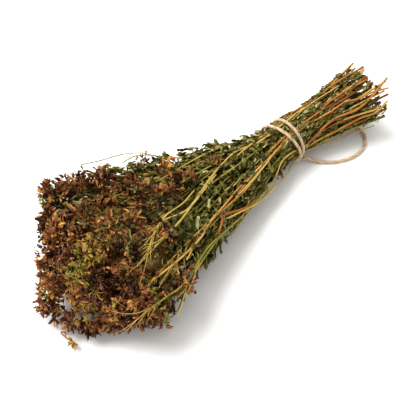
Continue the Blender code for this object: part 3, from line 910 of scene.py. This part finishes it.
packed_rng = random.Random(77)
for number in range(PACKED_PIECES):
    shape = new_shape()
    for _ in range(PACKED_LEAVES // PACKED_PIECES):
        at_butts = packed_rng.random() < BUTTS_SHARE
        distance = packed_rng.uniform(*(PACKED_BUTTS if at_butts else PACKED_DISTANCE))
        angle = packed_rng.uniform(0, 2 * math.pi)
        outermost = 1.12 if abs(distance) < 0.022 else 1.04
        if FAR_SPAN[0] < distance < FAR_SPAN[1]:
            outermost += FAR_FUZZ * max(0.0, math.cos(angle))
        ring = math.sqrt(packed_rng.uniform(0.42, outermost))
        where = bundle_point(ring, angle, distance)
        ahead = (bundle_point(ring, angle, distance + 0.004) - where).normalized()
        away = (where - bundle_point(0, 0, distance)).normalized()
        lean = packed_rng.uniform(0.1, 0.45 if at_butts else 1.3) * packed_rng.choice((-1, 1))
        heading = Matrix.Rotation(lean, 3, away) @ ahead
        heading += away * packed_rng.uniform(-0.15, 0.15 if distance < 0.03 else 0.40)
        facing = Matrix.Rotation(packed_rng.uniform(-1.0, 1.0), 3, heading) @ away
        size = packed_rng.uniform(*LEAF_SIZE) * (0.70 if at_butts else 1.0)
        # Leaves nearer the bunch's middle get a darker tint: painted shade of the bunch's inside.
        painted_depth_shade = 0.9 * max(0.0, 0.94 - ring)
        add_leaf(shape, where - heading * size * 0.5, heading, facing, size, packed_rng, painted_depth_shade)
    finish_piece(shape, f"packed_leaves_{number + 1}", PLANT, "dry_stem_and_leaf")


# The uppermost stems: almost bare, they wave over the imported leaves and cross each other, thick
# and red-brown at the cut ends, thin and pale beyond the tie. Some fork near their tips into
# finer stalks, and a few have slipped out of the bunch altogether.

FORK_STALKS = (3, 7)
FORK_RADIUS = 0.00043
FORK_LENGTH = (0.018, 0.042)
FORK_SPAN = 0.035  # they part over this last stretch of the stem
STRAY_STEPS = 8
# Radius, tint and route of each. A place on the route is a distance from the tie, degrees round
# the bunch, and a ring, 1 at its surface.
LONG_STEMS = {
    "pale": (0.0011, 0.33, (
        (-0.030, 70, 1.02), (0.010, 72, 1.04), (0.040, 73, 1.05), (0.063, 62, 1.06),
        (0.087, 69, 1.06), (0.108, 76, 1.06), (0.130, 83, 1.06), (0.168, 91, 1.06), (0.206, 93, 1.05),
    )),
    "pale_second": (0.0009, 0.36, ((0.100, 76, 1.04), (0.150, 87, 1.07), (0.185, 82, 1.07), (0.218, 94, 1.04))),
    "pale_short": (0.0008, 0.30, ((0.130, 76, 1.03), (0.150, 80, 1.07), (0.177, 80, 1.08), (0.200, 87, 1.05))),
    "amber": (0.0010, 0.50, (
        (0.050, 122, 1.00), (0.086, 124, 1.04), (0.135, 113, 1.05), (0.161, 116, 1.06),
        (0.194, 114, 1.05), (0.231, 110, 1.02),
    )),
    "green": (0.0009, 0.10, (
        (0.030, 152, 1.00), (0.087, 171, 1.05), (0.125, 143, 1.06), (0.165, 130, 1.07), (0.204, 140, 1.05),
    )),
    "green_low": (0.0008, 0.16, (
        (0.068, 176, 1.08), (0.106, 153, 1.07), (0.148, 136, 1.06), (0.185, 136, 1.06),
        (0.212, 133, 1.05), (0.256, 120, 1.03),
    )),
    "bent_brown": (0.0011, 0.74, ((0.078, 168, 1.06), (0.097, 146, 1.08), (0.125, 119, 1.10), (0.130, 122, 1.10), (0.142, 133, 1.05))),
    "near_tie": (0.0010, 0.46, ((-0.020, 121, 1.02), (0.008, 124, 1.03), (0.059, 117, 1.03), (0.100, 120, 0.98))),
    "near_tie_far": (0.0010, 0.42, ((-0.015, 60, 1.02), (0.008, 59, 1.03), (0.052, 68, 1.04), (0.085, 73, 0.98))),
    "far_edge": (0.0013, 0.80, ((0.006, 34, 1.02), (-0.011, 40, 1.04), (-0.041, 70, 1.03), (-0.070, 79, 1.05), (-0.098, 96, 1.05))),
    "orange": (0.0012, 0.66, (
        (0.010, 172, 1.00), (-0.011, 176, 1.03), (-0.040, 152, 1.06), (-0.066, 161, 1.04),
        (-0.083, 153, 1.05), (-0.105, 139, 1.06),
    )),
    "orange_second": (0.0011, 0.62, (
        (-0.020, 124, 1.00), (-0.043, 131, 1.04), (-0.060, 132, 1.03), (-0.072, 142, 1.05),
        (-0.086, 146, 1.05), (-0.101, 155, 1.06),
    )),
    "golden_low": (0.0012, 0.50, (
        (-0.010, 196, 1.00), (-0.022, 190, 1.04), (-0.046, 188, 1.06), (-0.067, 185, 1.05),
        (-0.083, 189, 1.06), (-0.096, 176, 1.06),
    )),
    "olive_low": (0.0012, 0.14, ((-0.008, 214, 1.00), (-0.021, 217, 1.03), (-0.042, 220, 1.04), (-0.068, 222, 1.04), (-0.096, 222, 1.05))),
}
STRAYS = {
    "near_flank": (0.0009, 0.38, (
        (0.000, 178, 1.04), (0.014, 158, 1.12), (0.029, 152, 1.12), (0.040, 166, 1.14),
        (0.054, 181, 1.20), (0.073, 174, 1.22), (0.109, 137, 1.09), (0.124, 128, 1.05),
    )),
    "low_flank": (0.0007, 0.30, (
        (0.004, 205, 1.10), (0.015, 201, 1.30), (0.028, 191, 1.45), (0.044, 182, 1.42),
        (0.069, 175, 1.25), (0.095, 170, 1.06),
    )),
    "beside_twine": (0.0006, 0.38, (
        (-0.002, 202, 1.06), (-0.012, 211, 1.14), (-0.028, 219, 1.20), (-0.043, 223, 1.28),
        (-0.060, 226, 1.24), (-0.084, 229, 1.22),
    )),
    "far_arch": (0.0006, 0.24, (
        (0.190, -4, 1.30), (0.171, -4, 1.33), (0.150, -1, 1.40), (0.133, 1, 1.37),
        (0.121, 3, 1.20), (0.100, 6, 1.03), (0.070, 12, 0.96),
    )),
    "far_arch_low": (0.0006, 0.20, ((0.156, 2, 1.22), (0.140, 1, 1.32), (0.126, 3, 1.26), (0.112, 6, 1.06), (0.090, 12, 0.97))),
    "hanging_near": (0.0006, 0.72, ((0.205, 160, 1.00), (0.219, 178, 1.10), (0.228, 194, 1.22), (0.231, 204, 1.36))),
    "curled": (0.0006, 0.60, (
        (0.270, 226, 1.00), (0.284, 228, 1.16), (0.297, 233, 1.36), (0.305, 235, 1.38), (0.304, 229, 1.34),
    )),
}


def bundle_route(places):
    corners = [bundle_point(ring, math.radians(degrees), distance) for distance, degrees, ring in places]
    return smooth_route(corners, STRAY_STEPS)


def add_long_stem(shape, radius, tint, places):
    """A stem along its own route, its thickness and tint a little uneven."""
    line = bundle_route(places)
    uneven = [noise.noise(point * 120) for point in line]
    radii = [radius * (1 + 0.22 * value) for value in uneven]
    add_strand(shape, line, radii, 6, [tint + 0.10 * value for value in uneven])
    return line


def add_fork(shape, line, rng):
    """Fine dry stalks that part near the end of a stem's line."""
    span = [index for index, point in enumerate(line[:-1]) if (point - line[-1]).length < FORK_SPAN]
    for _ in range(rng.randint(*FORK_STALKS)):
        index = rng.choice(span)
        start = line[index]
        ahead = (line[index + 1] - start).normalized()
        away = (start - bundle_point(0, 0, TIE_X - start.x)).normalized()
        side = Matrix.Rotation(rng.uniform(-1.3, 1.3), 3, ahead) @ away
        across = ahead.cross(side)
        length = rng.uniform(*FORK_LENGTH)
        sag = rng.uniform(-0.3, 0.1)
        swerve = rng.uniform(-0.5, 0.5)
        points = []
        for step in range(7):
            share = step / 6
            lift_off = side * (0.25 * share + sag * share**2)
            points.append(start + (ahead * share + lift_off + across * swerve * share**2) * length)
        tints = [rng.uniform(0.30, 0.44)] * 7
        add_strand(shape, points, [FORK_RADIUS * (1 - 0.07 * step) for step in range(7)], 4, tints)


shape = new_shape()
for stem in uppermost:
    add_stem(shape, stem)
    add_stem_leaves(shape, stem, 1, random.Random(600 + stem.index))
finish_piece(shape, "uppermost_stems", PLANT, "dry_stem_and_leaf")

shape = new_shape()
fork_rng = random.Random(59)
for name, (radius, tint, places) in LONG_STEMS.items():
    line = add_long_stem(shape, radius, tint, places)
    if places[-1][0] > 0.19:
        add_fork(shape, line, fork_rng)
finish_piece(shape, "long_stems", PLANT, "dry_stem_and_leaf")

for name, (radius, tint, places) in STRAYS.items():
    shape = new_shape()
    add_long_stem(shape, radius, tint, places)
    finish_piece(shape, "stray_" + name, PLANT, "dry_stem_and_leaf")


# The imported middle: broken leaf and bud, pressed so close that no light comes through it. It is
# green between the stems and brown among the flowers, its green painted darker than the leaves' as shade.

CORE_SPAN = (-0.082, 0.255)
CORE_RING = 0.66
CORE_STATIONS = 42
CORE_SIDES = 36

core_rng = random.Random(88)
shape = new_shape()
shade = shape.verts.layers.float["tint"]
grain = shape.verts.layers.float_vector["grain"]
bmesh.ops.create_cone(
    shape, cap_ends=True, cap_tris=True, segments=CORE_SIDES, radius1=1.0, radius2=1.0, depth=1.0
)
long_edges = [edge for edge in shape.edges if abs(edge.verts[0].co.z - edge.verts[1].co.z) > 0.5]
bmesh.ops.subdivide_edges(shape, edges=long_edges, cuts=CORE_STATIONS, use_grid_fill=True)
for vertex in shape.verts:
    share = vertex.co.z + 0.5
    reach = math.hypot(vertex.co.x, vertex.co.y)
    angle = math.atan2(vertex.co.y, vertex.co.x)
    distance = CORE_SPAN[0] + (CORE_SPAN[1] - CORE_SPAN[0]) * share
    rough = noise.noise(Vector((math.cos(angle) * 4, math.sin(angle) * 4, distance * 90)))
    fine = core_rng.uniform(-0.05, 0.05)
    taper = min(1.0, share / 0.12, (1 - share) / 0.10) ** 0.5 if 0 < share < 1 else 0.0
    ring = CORE_RING * (0.25 + 0.75 * taper) * (1 + 0.16 * rough + fine)
    vertex.co = bundle_point(ring * min(1.0, reach), angle, distance)
    vertex[grain] = (distance * 60, math.cos(angle) * 3, math.sin(angle) * 3)
    # The low tint between the stems is painted shade of the bunch's inside; towards the flowers it turns brown.
    vertex[shade] = 0.12 + 0.85 * max(0.0, min(1.0, (distance - 0.13) / 0.06))
for face in shape.faces:
    face.material_index = 1
finish_piece(shape, "packed_middle", PLANT, "dry_stem_and_leaf")


# The flower heads: forking sprays of many small flowers, buds and opened capsules, dried rust,
# ochre and purple-brown. Each sits on the tip of its stem.

FLOWER_KINDS = 18
FLOWERS_A_HEAD = 62
HEAD_REACH = (0.0160, 0.0205)
HEAD_ZONE = 1.9
FLOWER_LENGTH = (0.0042, 0.0100)
STALK_RADIUS = 0.00040
SPRAYS = 108
SPRAY_PIECES = 6
SPRAY_REACH = (0.009, 0.016)
SPRAY_FLOWERS = (16, 34)
SPRAY_STARTS = (  # degrees round the bunch, and how near the tie flowers begin there
    (0, 40, 75, 95, 125, 150, 200, 300, 360),
    (0.200, 0.165, 0.175, 0.225, 0.245, 0.225, 0.200, 0.195, 0.200),
)
BLOOM_END = 0.290  # in the middle of the bunch
BLOOM_ROUNDING = 0.045  # how much sooner the outermost flowers end
BLOOM_SLANT = 0.040
NEAR_SHARE = 0.20  # how much smaller and further in the near side's sprays are
HEAD_BACK = 0.014  # how much nearer the tie the heads on the far side sit than their stems' tips
BLOOM_LOW = 0.030  # how much further they reach along the table
# Clusters of their own: distance from the tie, degrees round the bunch, ring, reach, flowers, tone.
CLUSTERS = (
    (0.299, 246, 0.84, 0.013, 30, 0.44),
    (0.303, 243, 1.00, 0.010, 26, 0.52),
    (0.298, 237, 0.95, 0.012, 28, 0.40),
    (0.293, 229, 1.05, 0.012, 28, 0.50),
    (0.286, 223, 1.12, 0.012, 28, 0.42),
    (0.291, 250, 0.60, 0.013, 30, 0.54),
    (0.284, 262, 0.62, 0.012, 28, 0.46),
    (0.280, 243, 0.78, 0.013, 30, 0.38),
    (0.280, 268, 0.62, 0.012, 28, 0.50),
    (0.271, 256, 0.78, 0.013, 30, 0.44),
    (0.240, 16, 1.10, 0.010, 26, 0.54),
    (0.226, 23, 1.18, 0.011, 26, 0.50),
    (0.210, 26, 1.24, 0.011, 26, 0.46),
    (0.191, 26, 1.24, 0.010, 24, 0.54),
    (0.262, 211, 1.10, 0.012, 28, 0.40),
    (0.272, 218, 1.12, 0.012, 28, 0.50),
    (0.089, 54, 1.03, 0.008, 16, 0.62),
    (0.135, 36, 1.02, 0.012, 26, 0.50),
    (0.147, 62, 1.02, 0.011, 26, 0.58),
    (0.163, 64, 1.02, 0.012, 28, 0.44),
    (0.123, 58, 1.03, 0.009, 18, 0.50),
    (0.231, 205, 1.38, 0.006, 9, 0.24),
    (0.304, 228, 1.34, 0.003, 3, 0.98),
)


def add_blade(shape, length, width, thickness, matrix, tint, rng, bend):
    """A narrow shrivelled petal or sepal from the matrix's origin along its X."""
    shade = shape.verts.layers.float["tint"]
    grain = shape.verts.layers.float_vector["grain"]
    verts = bmesh.ops.create_uvsphere(shape, u_segments=4, v_segments=3, radius=0.5)["verts"]
    twist = rng.uniform(-2.4, 2.4)
    sway = rng.uniform(-0.7, 0.7)
    for vertex in verts:
        along = vertex.co.z + 0.5
        across = vertex.co.x * width * (0.7 + 0.8 * along)
        up = vertex.co.y * thickness
        vertex[grain] = (along * length, across, 0)
        vertex[shade] = tint + 0.14 * (along - 0.5)
        turn = twist * along
        y = across * math.cos(turn) - up * math.sin(turn) + sway * length * along * along
        z = across * math.sin(turn) + up * math.cos(turn) + bend * length * along * along
        vertex.co = matrix @ Vector((along * length, y, z))


def flower_model(number):
    """One dried flower, bud or capsule of about unit length, its stalk end at the origin."""
    rng = random.Random(700 + number)
    shape = new_shape()
    shade = shape.verts.layers.float["tint"]
    grain = shape.verts.layers.float_vector["grain"]
    kind = ("flower", "faded", "flower", "capsule", "flower", "bud")[number % 6]
    length, radius = {
        "flower": (0.34, 0.12),
        "faded": (0.52, 0.19),
        "bud": (0.85, 0.20),
        "capsule": (0.70, 0.22),
    }[kind]
    body_tint = {"flower": -0.16, "faded": -0.05, "bud": 0.22, "capsule": 0.12}[kind]
    verts = bmesh.ops.create_uvsphere(shape, u_segments=5, v_segments=4, radius=0.5)["verts"]
    for vertex in verts:
        along = vertex.co.z + 0.5
        pinch = 1.0 - 0.5 * along if kind in ("bud", "capsule") else 1.0
        vertex[grain] = (along, vertex.co.x, vertex.co.y)
        vertex[shade] = body_tint - 0.10 * along
        across = vertex.co.x * 2 * radius * pinch
        vertex.co = Vector((along * length, across, vertex.co.y * 2 * radius * pinch))
    petals, spread, reach, start, curl = {
        "flower": (6, 0.85, 0.66, 0.05, -0.8),
        "faded": (6, 0.60, 0.56, 0.15, -1.3),
        "bud": (3, 0.22, 0.50, 0.05, -0.4),
        "capsule": (3, 0.40, 0.45, 0.46, 0.3),
    }[kind]
    for petal in range(petals):
        turn = 2 * math.pi * (petal + rng.uniform(-0.4, 0.4)) / petals
        matrix = (
            Matrix.Rotation(turn, 4, "X")
            @ Matrix.Translation((start, 0, radius * 0.6))
            @ Matrix.Rotation(-spread * rng.uniform(0.2, 1.9), 4, "Y")
        )
        size = reach * rng.uniform(0.6, 1.2)
        tint = rng.uniform(-0.16, 0.20)
        wide = rng.uniform(0.14, 0.38)
        add_blade(shape, size, wide, 0.05, matrix, tint, rng, curl * rng.uniform(0.2, 1.5))
    for vertex in shape.verts:
        vertex.co += noise.noise_vector(vertex.co * 6 + Vector((number, 0, 0))) * 0.06
    crease(shape)
    mesh = bpy.data.meshes.new("flower_model")
    shape.to_mesh(mesh)
    shape.free()
    return mesh


def add_flower(shape, tip, heading, tone, rng):
    """One flower, bud or capsule at the tip of its stalk, clear of the table."""
    highest = 0.80 if tone < 0.80 else 0.98
    size = FLOWER_LENGTH[0] + (FLOWER_LENGTH[1] - FLOWER_LENGTH[0]) * rng.random() ** 1.5
    nod = Vector((rng.uniform(-1, 1), rng.uniform(-1, 1), rng.uniform(-1, 1)))
    facing = (heading * 0.8 + nod).normalized()
    if tip.z + facing.z * size < 0.003:
        facing.z = abs(facing.z)
    broad = rng.uniform(0.85, 1.35)
    scale = Matrix.Diagonal((size, size * broad, size * broad, 1.0))
    matrix = place_along(tip - facing * size * 0.15, facing, nod) @ scale
    tint = min(highest, max(0.03, tone + 0.46 * noise.noise(tip * 55) + rng.gauss(0, 0.11)))
    stamp(shape, rng.choice(FLOWERS), matrix, tint, rng.uniform(0, 40))


def add_spray(shape, root, ahead, reach, count, tone, rng):
    """Stalks that fork out from the root, each with a few flowers, buds or capsules; those nearer the fork are
    painted darker, as shade.
    """
    fork = root + ahead * reach * 0.35
    across = ahead.orthogonal().normalized()
    add_rod(shape, STALK, root, fork, STALK_RADIUS * 2, 0.85)
    for number in range(count):
        share = (number + 0.5) / count
        tilt = HEAD_ZONE * math.sqrt(share) * rng.uniform(0.85, 1.1)
        side = Matrix.Rotation(number * GOLDEN_ANGLE + rng.uniform(-0.3, 0.3), 3, ahead) @ across
        heading = ahead * math.cos(tilt) + side * math.sin(tilt)
        tip = fork + heading * reach * rng.uniform(0.35, 1.0)
        tip.z = max(tip.z, 0.0045)
        bend = fork.lerp(tip, 0.55) + ahead * reach * 0.12
        tint = rng.uniform(0.60, 0.98)
        if number % 2:
            add_rod(shape, STALK, fork, bend, STALK_RADIUS * 1.2, tint)
            add_rod(shape, STALK, bend, tip, STALK_RADIUS, tint)
        # Painted shade: flowers nearer the fork get a darker tone, except in green bud sprays.
        inner = 1 - (tip - fork).length / reach
        depth = 0.42 * inner if tone < 0.8 else 0.0
        add_flower(shape, tip, heading, tone - depth, rng)


def spray_tone(rng):
    """Most sprays dried rust or brown, some ochre, and few are green with buds."""
    return rng.choice((0.24, 0.36, 0.42, 0.48, 0.52, 0.56, 0.60, 0.66, 0.96)) + rng.gauss(0, 0.03)


DRIED_FLOWER = dried_material(
    "dried_flower",
    0.62,
    (
        (0.0, (0.026, 0.011, 0.007)),
        (0.18, (0.085, 0.033, 0.015)),
        (0.38, (0.215, 0.080, 0.030)),
        (0.56, (0.390, 0.160, 0.055)),
        (0.70, (0.560, 0.290, 0.095)),
        (0.82, (0.440, 0.290, 0.060)),
        (1.0, (0.220, 0.225, 0.045)),
    ),
    ((7, 9, 1), 0.30),
    ((14, 60, 60), 0.20),
    0.0003,
)
STALK = rod_model(4, 0.8)
noise.seed_set(700)
FLOWERS = [flower_model(number) for number in range(FLOWER_KINDS)]

for stem in stems:
    if stem.head is None:
        continue
    rng = random.Random(800 + stem.index)
    shape = new_shape()
    back = HEAD_BACK * stem.ring * max(0.0, math.cos(stem.angle))
    root = stem.point(stem.end - 0.003 - back)
    near = max(0.0, -math.cos(stem.angle + TWIST))
    reach = rng.uniform(*HEAD_REACH) * (1 - NEAR_SHARE * near)
    add_spray(shape, root, stem.direction(stem.head), reach, FLOWERS_A_HEAD, spray_tone(rng), rng)
    number = f"{stem.index + 1:02d}"
    finish_piece(
        shape, "flower_spray_" + number, [DRIED_FLOWER], "dry_flowers", ["flower_head_" + number]
    )


# The smaller sprays: flowers on side branches and thinner stems, which fill the room between the
# heads. They round off the flower end, and begin nearest the tie on the upper far side.

for piece in range(SPRAY_PIECES):
    shape = new_shape()
    for number in range(piece, SPRAYS, SPRAY_PIECES):
        rng = random.Random(900 + number)
        ring = math.sqrt((number + 0.5) / SPRAYS)
        angle = number * GOLDEN_ANGLE + rng.uniform(-0.2, 0.2)
        last = BLOOM_END - BLOOM_ROUNDING * ring**2
        last += ring * BLOOM_LOW * max(0.0, -math.sin(angle))
        last -= ring * BLOOM_SLANT * max(0.0, math.cos(angle + 0.5))
        degrees = math.degrees(angle) % 360
        first = float(np.interp(degrees, *SPRAY_STARTS)) if ring > 0.68 else last - 0.03
        distance = last - (last - first) * rng.random() ** 1.1
        near = max(0.0, -math.cos(angle + TWIST))
        centre = bundle_point(ring * (1.02 - 0.5 * NEAR_SHARE * near), angle, distance)
        away = centre - bundle_point(0, 0, distance)
        ahead = (away.normalized() * (0.2 + 0.7 * ring) + Vector((-0.8, 0, 0))).normalized()
        reach = rng.uniform(*SPRAY_REACH)
        root = centre - ahead * reach * 0.6
        root.z = max(root.z, 0.004)
        add_spray(shape, root, ahead, reach, rng.randint(*SPRAY_FLOWERS), spray_tone(rng), rng)
    finish_piece(shape, f"small_sprays_{piece + 1}", [DRIED_FLOWER], "dry_flowers")

shape = new_shape()
for number, (distance, degrees, ring, reach, count, tone) in enumerate(CLUSTERS):
    rng = random.Random(1200 + number)
    centre = bundle_point(ring, math.radians(degrees), distance)
    away = (centre - bundle_point(0, 0, distance)).normalized()
    ahead = (away * 0.8 + Vector((-0.6, 0, 0))).normalized()
    root = centre - ahead * reach * 0.6
    root.z = max(root.z, 0.004)
    add_spray(shape, root, ahead, reach, count, tone, rng)
finish_piece(shape, "flower_clusters", [DRIED_FLOWER], "dry_flowers")
